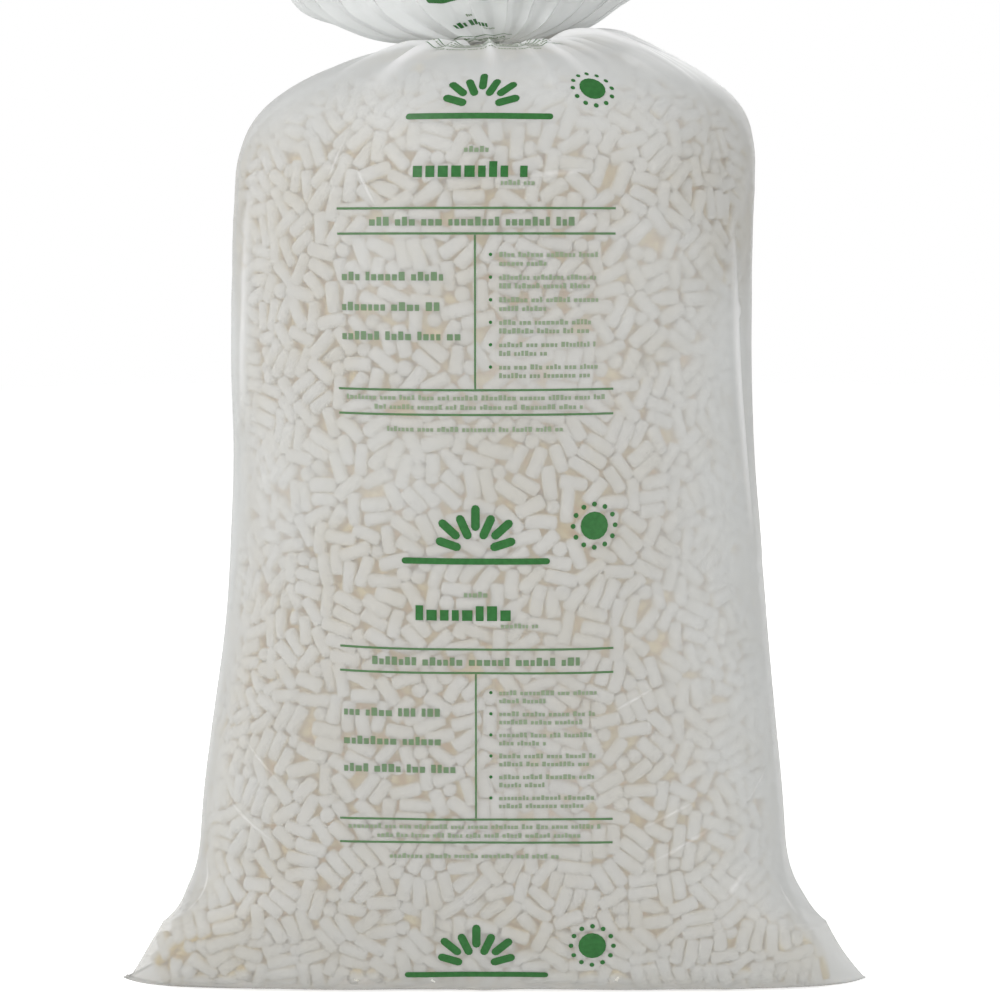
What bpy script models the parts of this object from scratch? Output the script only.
"""A tall clear polythene bag, filled with packing peanuts and tied at the neck.

The bag stands upright on its flattened base. It is a tube of film that was sealed straight across
the bottom, so two pointed ears are left at the lower corners. Above the fill the film is gathered
into pleats, a tie holds the neck, and the spare film fans out above it to the open mouth.

Units are metres, +Z is up, the front faces -Y, and the origin is the middle of the footprint.
"""

import math
import random
from dataclasses import dataclass

import bmesh
import bpy
from mathutils import Vector

# Heights above the floor
ROLL_HEIGHT = 0.24          # where the rounded lower edge has become the wall
SQUARE_HEIGHT = 0.5         # the corners that the straight seal leaves fade out here
SHOULDER_HEIGHT = 1.0       # where the wall starts to turn inwards
CREST_HEIGHT = 1.165        # highest film around the gathered neck
NECK_HEIGHT = 1.165         # middle of the tied neck
MOUTH_HEIGHT = 1.285        # open edge of the film fan, before it tilts

# Widths run along X and depths along Y
BASE_WIDTH = 0.825
BASE_DEPTH = 0.665
SHOULDER_WIDTH = 0.683
SHOULDER_DEPTH = 0.575
BASE_TUCK = 0.045           # how far the film rolls in under the wall
SHOULDER_LEAN = 0.008       # the heap's top leans towards +X

# Shape of the sections: 2 is an ellipse, and more is squarer
BASE_SQUARENESS = 4.85
WALL_SQUARENESS = 2.4
NECK_SQUARENESS = 2.0

# Shape of the profile, as powers: below 1 the shoulder is fuller than an ellipse
WALL_TAPER = 2.1            # how quickly the wall narrows above the base
SHOULDER_POWER = 0.85
SHOULDER_RISE_POWER = 0.75
FAN_POWER = 0.8

# Lower corners of the sealed tube
EAR_SPAN = 0.947            # from tip to tip
EAR_HEIGHT = 0.16           # where an ear runs out into the wall
EAR_POWER = 1.4
EAR_SET_FORWARD = 0.25      # how far the ears lie in front of the middle
EAR_ROOT = 3.0              # higher makes an ear begin more suddenly where it leaves the wall
EAR_SPREAD = 36.0           # degrees around the bag from an ear's tip to where it has run out

# Gathered neck and the fan of spare film
NECK_RADIUS = 0.028
NECK_BAND_HEIGHT = 0.014    # straight stretch of film that the tie holds
NECK_FORWARD = 0.04
DIMPLE_RADIUS = 0.05
DIMPLE_DEPTH = 0.012
DIMPLE_START = 0.8          # share of the way from the wall to the neck
FAN_WIDTH = 0.435
FAN_DEPTH = 0.20
FAN_LEAN = 0.041            # the fan leans towards -X
FAN_TILT = 0.019            # and its mouth is lower on that side
HUMP_HEIGHT = 0.027         # a fold of film stands up between the fan and the +X shoulder
HUMP_POWER = 4.5            # higher brings the fold nearer to the neck
SAG_HEIGHT = 0.008          # the -X shoulder hangs a little lower
SIDE_POWER = 3.0            # how narrow the fold and the sag are, around the bag

# Film
FILM_THICKNESS = 0.0001
PLEATS = 24
NECK_PLEAT_DEPTH = 0.014
SHOULDER_PLEAT_DEPTH = 0.016
FAN_PLEAT_DEPTH = 0.022

# Loose fill
SEAT_GAP = 0.0003           # between pieces that touch
WALL_CLEARANCE = 0.003      # between the peanuts' tops and the film of the wall
TOP_CLEARANCE = 0.022       # the film stands further off the heap under the shoulders
PEANUT_RELIEF = 0.013       # how far a peanut stands out of the heap
FILL_CROWN_SHARE = 0.36     # the heap's flat crown, as a share of the shoulder's width
FILL_EAR_SHARE = 0.75       # the ears' tips are empty film
FILL_LOOSE_HEIGHT = 0.85    # above this height the film begins to stand off the heap
FILL_ROWS = 36
FILL_COLUMNS = 68
FILL_PROFILE_STEPS = 50     # fine steps of each stretch, before they are spaced evenly
PEANUT_WANDER = 0.12        # how uneven the rows of peanuts are, as a share of their spacing
PEANUT_SEED = 11

# Tie
TIE_WIDTH = 0.0076
TIE_THICKNESS = 0.0018
TIE_HEAD = 0.013
TIE_HEAD_EXTRA = 0.002      # the head is wider than the strap
TIE_TAIL = 0.035
TIE_SEGMENTS = 48

FILM_COLUMNS = 2 * PLEATS   # every second point around a ring is the crest of a pleat

COLLECTION_NAME = "packing_peanut_bag"


@dataclass
class Station:
    """One ring of the bag: an oval section at a height."""

    height: float
    half_width: float
    half_depth: float
    centre_x: float = 0.0
    centre_y: float = 0.0
    squareness: float = NECK_SQUARENESS
    ear: float = 0.0
    pleat: float = 0.0
    hump: float = 0.0
    sag: float = 0.0
    tilt: float = 0.0


def clear_scene():
    for item in list(bpy.data.objects):
        bpy.data.objects.remove(item, do_unlink=True)


def make_collection(name):
    collection = bpy.data.collections.new(name)
    bpy.context.scene.collection.children.link(collection)
    return collection


def make_material(name, colour, roughness, alpha=1.0):
    material = bpy.data.materials.new(name)
    material.use_nodes = True
    shader = material.node_tree.nodes["Principled BSDF"]
    shader.inputs["Base Color"].default_value = (*colour, 1.0)
    shader.inputs["Roughness"].default_value = roughness
    shader.inputs["Metallic"].default_value = 0.0
    shader.inputs["Alpha"].default_value = alpha
    return material


def add_object(name, mesh, collection, material):
    mesh.materials.append(material)
    item = bpy.data.objects.new(name, mesh)
    collection.objects.link(item)
    return item


def mix(start, end, share):
    return start + (end - start) * share


def wall_size(height, base_size, shoulder_size):
    """Size of the wall at a height: the settled fill pushes it out towards the base."""
    share = max(0.0, 1.0 - height / SHOULDER_HEIGHT)
    return mix(shoulder_size, base_size, share ** WALL_TAPER)


def wall_squareness(height):
    """Square near the floor, where the straight seal runs, and rounder higher up."""
    share = max(0.0, 1.0 - height / SQUARE_HEIGHT)
    return mix(WALL_SQUARENESS, BASE_SQUARENESS, share)


def base_stations(count):
    """The rounded lower edge, from the flat base up to the wall."""
    stations = []
    for step in range(count):
        turn = 0.5 * math.pi * step / count
        height = ROLL_HEIGHT * (1.0 - math.cos(turn))
        tuck = BASE_TUCK * (1.0 - math.sin(turn))
        ear = max(0.0, 1.0 - height / EAR_HEIGHT) ** EAR_POWER
        stations.append(Station(
            height=height,
            half_width=0.5 * wall_size(height, BASE_WIDTH, SHOULDER_WIDTH) - tuck,
            half_depth=0.5 * wall_size(height, BASE_DEPTH, SHOULDER_DEPTH) - tuck,
            squareness=wall_squareness(height),
            ear=ear,
        ))
    return stations


def wall_stations(count):
    """The nearly upright wall."""
    stations = []
    for step in range(count):
        height = mix(ROLL_HEIGHT, SHOULDER_HEIGHT, step / count)
        stations.append(Station(
            height=height,
            half_width=0.5 * wall_size(height, BASE_WIDTH, SHOULDER_WIDTH),
            half_depth=0.5 * wall_size(height, BASE_DEPTH, SHOULDER_DEPTH),
            squareness=wall_squareness(height),
        ))
    return stations


def shoulder_stations(count):
    """The rounded shoulder, from the wall to the dimple around the neck."""
    inner = DIMPLE_RADIUS
    stations = []
    for step in range(count):
        share = step / (count - 1)
        turn = 0.5 * math.pi * share
        out = max(0.0, math.cos(turn)) ** SHOULDER_POWER
        rise = math.sin(turn) ** SHOULDER_RISE_POWER
        dimple = DIMPLE_DEPTH * max(0.0, share - DIMPLE_START) / (1.0 - DIMPLE_START)
        stations.append(Station(
            height=mix(SHOULDER_HEIGHT, CREST_HEIGHT, rise) - dimple,
            half_width=mix(inner, 0.5 * SHOULDER_WIDTH, out),
            half_depth=mix(inner, 0.5 * SHOULDER_DEPTH, out),
            centre_x=SHOULDER_LEAN * math.sin(math.pi * share),
            centre_y=-NECK_FORWARD * share * share,
            squareness=mix(WALL_SQUARENESS, NECK_SQUARENESS, share),
            pleat=0.5 * SHOULDER_PLEAT_DEPTH * share,
            hump=HUMP_HEIGHT * math.sin(math.pi * share ** HUMP_POWER),
            sag=SAG_HEIGHT * math.sin(math.pi * share),
        ))
    return stations


def neck_stations():
    """The straight pleated stretch under the tie."""
    stations = []
    for side in (-1.0, 1.0):
        stations.append(Station(
            height=NECK_HEIGHT + side * 0.5 * NECK_BAND_HEIGHT,
            half_width=NECK_RADIUS,
            half_depth=NECK_RADIUS,
            centre_y=-NECK_FORWARD,
            pleat=0.5 * NECK_PLEAT_DEPTH,
        ))
    return stations


def fan_stations(count):
    """The spare film above the tie, which opens like a shallow trumpet."""
    bottom = NECK_HEIGHT + 0.5 * NECK_BAND_HEIGHT
    stations = []
    for step in range(1, count + 1):
        share = step / count
        turn = 0.5 * math.pi * share
        stations.append(Station(
            height=mix(bottom, MOUTH_HEIGHT, 1.0 - max(0.0, math.cos(turn)) ** FAN_POWER),
            half_width=mix(NECK_RADIUS, 0.5 * FAN_WIDTH, math.sin(turn)),
            half_depth=mix(NECK_RADIUS, 0.5 * FAN_DEPTH, math.sin(turn)),
            centre_x=-FAN_LEAN * share,
            centre_y=-NECK_FORWARD,
            pleat=0.5 * mix(NECK_PLEAT_DEPTH, FAN_PLEAT_DEPTH, share),
            tilt=FAN_TILT * share,
        ))
    return stations


def ring_points(station, count, ear_share=1.0):
    """Points around one ring, counter-clockwise seen from above."""
    ear_spread = math.radians(EAR_SPREAD)
    ear_along = min(1.0, EAR_SET_FORWARD / (0.5 * BASE_DEPTH - BASE_TUCK))
    ear_across = (1.0 - ear_along ** BASE_SQUARENESS) ** (1.0 / BASE_SQUARENESS)
    ear_angle = math.atan2(ear_along, ear_across)
    ear = station.ear * ear_share
    points = []
    for index in range(count):
        angle = 2.0 * math.pi * index / count
        square = station.squareness
        radius = (abs(math.cos(angle)) ** square + abs(math.sin(angle)) ** square) ** (-1.0 / square)
        across = radius * math.cos(angle)
        along = radius * math.sin(angle)
        fold = station.pleat * (1.0 if index % 2 else -1.0)
        x = station.centre_x + across * (station.half_width + fold)
        y = station.centre_y + along * (station.half_depth + fold)
        for side, tip in ((1.0, -ear_angle), (-1.0, math.pi + ear_angle)):
            away = abs(math.remainder(angle - tip, 2.0 * math.pi))
            bump = max(0.0, 1.0 - away / ear_spread)
            goal = side * mix(station.half_width, 0.5 * EAR_SPAN, ear)
            x = mix(x, goal, bump * min(1.0, station.ear * EAR_ROOT))
        lift = station.hump * max(0.0, math.cos(angle)) ** SIDE_POWER
        lift -= station.sag * max(0.0, -math.cos(angle)) ** SIDE_POWER
        lift += station.tilt * math.cos(angle)
        points.append(Vector((x, y, station.height + lift)))
    return points


def loft(rings, close_bottom=True, close_top=False):
    """A mesh of quads through rings that have the same number of points."""
    mesh = bmesh.new()
    rows = [[mesh.verts.new(point) for point in ring] for ring in rings]
    for lower, upper in zip(rows, rows[1:]):
        for index in range(len(lower)):
            after = (index + 1) % len(lower)
            mesh.faces.new((lower[index], lower[after], upper[after], upper[index]))
    if close_bottom:
        mesh.faces.new(list(reversed(rows[0])))
    if close_top:
        mesh.faces.new(rows[-1])
    return mesh


def finish_mesh(mesh, name):
    data = bpy.data.meshes.new(name)
    mesh.to_mesh(data)
    mesh.free()
    data.shade_smooth()
    return data


def make_film_bag(collection):
    """One piece of film: base, wall, shoulders, neck and fan are one open surface with a thickness."""
    stations = base_stations(5) + wall_stations(4) + shoulder_stations(7)
    stations += neck_stations() + fan_stations(5)
    mesh = loft([ring_points(station, FILM_COLUMNS) for station in stations])
    data = finish_mesh(mesh, "film_bag")
    data.set_sharp_from_angle(angle=math.radians(40.0))
    material = make_material("clear_film", (0.80, 0.81, 0.80), 0.22, alpha=0.3)
    bag = add_object("film_bag", data, collection, material)
    wall = bag.modifiers.new("film thickness", "SOLIDIFY")
    wall.thickness = FILM_THICKNESS
    wall.offset = -1.0
    return bag


def resample(stations, count):
    """Stations at even distances along the profile of a dense list."""
    lengths = [0.0]
    for before, after in zip(stations, stations[1:]):
        step = math.hypot(after.half_width - before.half_width, after.height - before.height)
        lengths.append(lengths[-1] + step)
    result = []
    place = 0
    for step in range(count):
        target = lengths[-1] * step / (count - 1)
        while place < len(lengths) - 2 and lengths[place + 1] < target:
            place += 1
        share = (target - lengths[place]) / (lengths[place + 1] - lengths[place])
        before, after = stations[place], stations[place + 1]
        fields = {key: mix(value, getattr(after, key), share) for key, value in vars(before).items()}
        result.append(Station(**fields))
    return result


def inset_stations(stations, clearance_of):
    """The same rings moved inwards, square to the profile, by a clearance that depends on height."""
    result = []
    for index, station in enumerate(stations):
        before = stations[max(0, index - 1)]
        after = stations[min(len(stations) - 1, index + 1)]
        run = after.half_width - before.half_width
        rise = after.height - before.height
        length = math.hypot(run, rise)
        clearance = clearance_of(station.height)
        fields = dict(vars(station))
        fields["half_width"] -= clearance * rise / length
        fields["half_depth"] -= clearance * rise / length
        fields["height"] += clearance * min(0.0, run) / length
        fields["pleat"] = 0.0
        result.append(Station(**fields))
    return result


def pair_cells(rows, columns, source):
    """Join neighbouring cells two by two, lengthways or crossways, as the peanuts lie."""
    free = {(row, column) for row in range(rows) for column in range(columns)}
    pairs = []
    for row in range(rows):
        for column in range(columns):
            if (row, column) not in free:
                continue
            free.discard((row, column))
            beside = (row, (column + 1) % columns)
            above = (row + 1, column)
            choices = [cell for cell in (beside, above) if cell in free]
            if choices:
                other = source.choice(choices)
                free.discard(other)
                pairs.append(((row, column), other))
    return pairs


def make_loose_fill(collection):
    """The heap of peanuts as one solid, its surface covered with rod-shaped ridges.

    Each ridge takes two cells of the grid. The cells are poked outwards, and the edge that a pair
    shares is turned to run along the pair, which leaves the ridge of one rod.
    """
    source = random.Random(PEANUT_SEED)
    steps = FILL_PROFILE_STEPS
    dense = base_stations(steps) + wall_stations(steps) + shoulder_stations(steps)
    crown = FILL_CROWN_SHARE * 0.5 * SHOULDER_WIDTH
    dense = [item for item in dense if item.half_width > crown or item.height < SHOULDER_HEIGHT]

    def clearance(height):
        share = max(0.0, (height - FILL_LOOSE_HEIGHT) / (CREST_HEIGHT - FILL_LOOSE_HEIGHT))
        return PEANUT_RELIEF + mix(WALL_CLEARANCE, TOP_CLEARANCE, share)

    stations = inset_stations(resample(dense, FILL_ROWS + 1), clearance)
    floor = FILM_THICKNESS + SEAT_GAP
    for station in stations:
        station.height = max(station.height, floor)
        station.hump = 0.0
    stations[0].height = floor
    rings = [ring_points(station, FILL_COLUMNS, FILL_EAR_SHARE) for station in stations]
    spacing = (rings[1][0] - rings[0][0]).length
    for ring in rings[2:-1]:
        for point in ring:
            point.z += source.uniform(-PEANUT_WANDER, PEANUT_WANDER) * spacing
    mesh = loft(rings, close_top=True)
    mesh.faces.ensure_lookup_table()
    mesh.verts.ensure_lookup_table()
    cells = mesh.faces[:FILL_ROWS * FILL_COLUMNS]
    shared = []
    for first, second in pair_cells(FILL_ROWS, FILL_COLUMNS, source):
        first_face = cells[first[0] * FILL_COLUMNS + first[1]]
        second_face = cells[second[0] * FILL_COLUMNS + second[1]]
        shared += [edge for edge in first_face.edges if edge in second_face.edges]
    bmesh.ops.poke(mesh, faces=cells, offset=PEANUT_RELIEF, center_mode="MEAN")
    bmesh.ops.rotate_edges(mesh, edges=shared)
    data = finish_mesh(mesh, "loose_fill")
    data.set_sharp_from_angle(angle=math.radians(25.0))
    material = make_material("starch_foam", (0.80, 0.78, 0.72), 0.75)
    return add_object("loose_fill", data, collection, material)


def make_neck_tie(collection, cutters):
    """A moulded nylon tie: a band around the pleats, a square head and the free tail."""
    inner = NECK_RADIUS + 0.5 * NECK_PLEAT_DEPTH + SEAT_GAP
    band = bmesh.new()
    bmesh.ops.create_cone(band, cap_ends=False, segments=TIE_SEGMENTS, radius1=inner + TIE_THICKNESS,
                          radius2=inner + TIE_THICKNESS, depth=TIE_WIDTH)
    data = finish_mesh(band, "neck_tie")
    material = make_material("natural_nylon", (0.72, 0.71, 0.66), 0.35)
    tie = add_object("neck_tie", data, collection, material)
    tie.location = (0.0, -NECK_FORWARD, NECK_HEIGHT)
    wall = tie.modifiers.new("band thickness", "SOLIDIFY")
    wall.thickness = TIE_THICKNESS
    wall.offset = -1.0
    wall.use_even_offset = True

    middle = inner + 0.5 * TIE_THICKNESS
    head_middle = Vector((0.0, middle + 0.5 * TIE_HEAD, 0.0))
    tail_middle = head_middle + Vector((-0.5 * TIE_TAIL, 0.0, 0.0))
    shapes = (
        ("tie_head", (TIE_HEAD, TIE_HEAD, TIE_WIDTH + TIE_HEAD_EXTRA), head_middle),
        ("tie_tail", (TIE_TAIL, TIE_THICKNESS, TIE_WIDTH), tail_middle),
    )
    for name, size, place in shapes:
        block = bmesh.new()
        bmesh.ops.create_cube(block, size=1.0)
        bmesh.ops.scale(block, vec=size, verts=block.verts)
        bmesh.ops.translate(block, vec=place, verts=block.verts)
        cutter = bpy.data.objects.new(name, finish_mesh(block, name))
        cutters.objects.link(cutter)
        cutter.location = tie.location
        cutter.hide_render = True
        cutter.display_type = "WIRE"
        union = tie.modifiers.new("join " + name, "BOOLEAN")
        union.operation = "UNION"
        union.solver = "EXACT"
        union.object = cutter
    return tie


def main():
    clear_scene()
    parts = make_collection(COLLECTION_NAME)
    cutters = make_collection("construction_shapes")
    make_film_bag(parts)
    make_loose_fill(parts)
    make_neck_tie(parts, cutters)


main()
